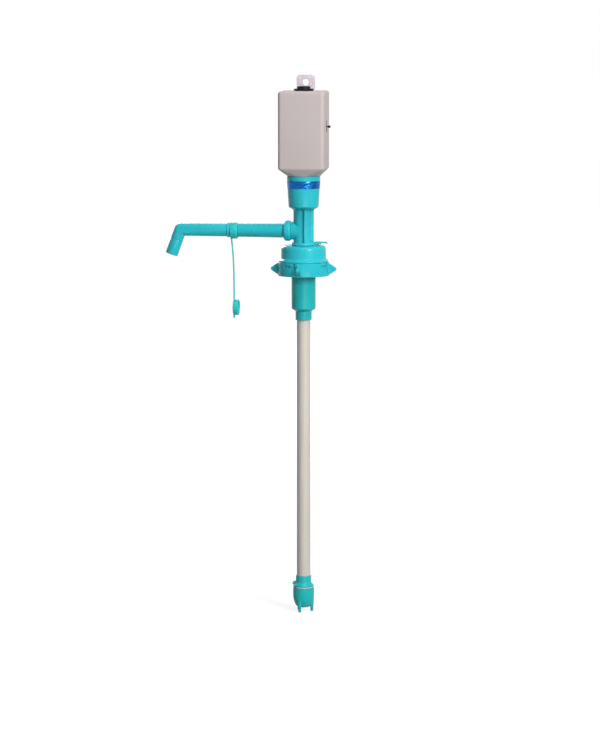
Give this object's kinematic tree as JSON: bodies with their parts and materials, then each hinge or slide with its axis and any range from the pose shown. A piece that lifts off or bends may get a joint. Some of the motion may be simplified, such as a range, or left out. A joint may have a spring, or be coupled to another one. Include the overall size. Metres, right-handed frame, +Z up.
{
  "type": "electric water jug pump",
  "caption": "Battery water pump for a jug: motor head on a ribbed column, side spout with elbow and tethered cap, clamping neck collar and long tube with a pump foot.",
  "frame": {"origin": "on the pump's axis, in the plane where the bottle's mouth meets the underside of the gasket", "axes": "+Z up along the pump's axis, -X along the spout, -Y to the casing's front, +Y to its back, where the hanging tab stands"},
  "size_m": [0.2236, 0.0858, 0.6987],
  "materials": {
    "teal_plastic": "smooth, glossy",
    "soft_teal_plastic": "soft, satin",
    "beige_plastic": "fine satin",
    "clear_plastic": "translucent, smooth",
    "black_plastic": "satin",
    "ivory_plastic": "satin, extruded",
    "white_plastic": "satin",
    "blue_foil": "mirror-like foil",
    "steel": "plain",
    "copper_winding": "varnished wire on a core",
    "dark_magnet": "matt, sintered",
    "brass": "plain",
    "pale_silicone": "soft, matt",
    "black_rubber": "matt",
    "cell_wrap": "satin film",
    "green_board": "coated board"
  },
  "bodies": {
    "pump_body": {"battery_cell_1": "cell_wrap", "battery_cell_2": "cell_wrap", "battery_cell_3": "cell_wrap", "battery_cell_4": "cell_wrap", "battery_holder": "black_plastic", "bowl_gasket": "pale_silicone", "button_bezel": "black_plastic", "casing_screw_1": "steel", "casing_screw_2": "steel", "casing_screw_3": "steel", "casing_screw_4": "steel", "column_seal": "black_rubber", "contact_board_high": "green_board", "contact_board_low": "green_board", "elbow_o_ring": "black_rubber", "foot_collar": "teal_plastic", "foot_screw": "brass", "front_cover": "beige_plastic", "grip_sleeve": "pale_silicone", "hanging_tab": "clear_plastic", "motor_can": "steel", "motor_end_cap": "white_plastic", "motor_magnet": "dark_magnet", "motor_mount": "white_plastic", "motor_screw_1": "steel", "motor_screw_2": "steel", "neck_cap": "teal_plastic", "neck_gasket": "pale_silicone", "outlet_seal": "black_rubber", "pump_bowl": "teal_plastic", "pump_column": "teal_plastic", "push_switch": "black_plastic", "rear_casing": "beige_plastic", "riser_tube": "ivory_plastic", "sealing_band": "blue_foil", "shaft_seal": "black_rubber", "slide_switch_body": "black_plastic", "spout_arm": "teal_plastic", "spout_nut": "teal_plastic", "strainer": "teal_plastic", "tube_bush_1": "white_plastic", "tube_bush_2": "white_plastic", "tube_socket": "teal_plastic", "upper_bush": "white_plastic", "vent_pin": "steel"},
    "button": {"button_cap": "black_plastic"},
    "slide": {"slide_knob": "black_plastic"},
    "rotor": {"motor_armature": "copper_winding", "motor_shaft": "steel", "shaft_coupling": "white_plastic", "drive_shaft": "steel", "impeller": "white_plastic"},
    "elbow": {"spout_elbow": "teal_plastic", "nozzle_tip": "teal_plastic"},
    "tether": {"tether_ring": "soft_teal_plastic", "tether_strap": "soft_teal_plastic", "dust_cap": "soft_teal_plastic"},
    "clamp": {"clamp_ring": "teal_plastic"},
    "vent": {"vent_flap": "teal_plastic", "vent_plug": "pale_silicone"}
  },
  "joints": [
    {"name": "button_press", "type": "slide", "parent": "pump_body", "child": "button", "axis": [0, 0, -1], "range_m": [0, 0.0025], "stiffness_N_per_m": 500, "springref_m": -0.002},
    {"name": "slide_switch", "type": "slide", "parent": "pump_body", "child": "slide", "axis": [0, 0, 1], "range_m": [-0.004, 0.004]},
    {"name": "rotor_spin", "type": "hinge", "parent": "pump_body", "child": "rotor", "pos_m": [0, 0, 0], "axis": [0, 0, 1], "continuous": true},
    {"name": "elbow_swivel", "type": "hinge", "parent": "pump_body", "child": "elbow", "pos_m": [-0.0954, 0, 0.024], "axis": [-1, 0, 0], "continuous": true},
    {"name": "tether_swing", "type": "hinge", "parent": "pump_body", "child": "tether", "pos_m": [-0.0903, 0, 0.0234], "axis": [-1, 0, 0], "continuous": true},
    {"name": "clamp_turn", "type": "hinge", "parent": "pump_body", "child": "clamp", "pos_m": [0, 0, -0.0164], "axis": [0, 0, 1], "range_deg": [-21, 0]},
    {"name": "vent_lift", "type": "hinge", "parent": "pump_body", "child": "vent", "pos_m": [0.016, 0, 0.0079], "axis": [0, -1, 0], "range_deg": [0, 75]}
  ]
}
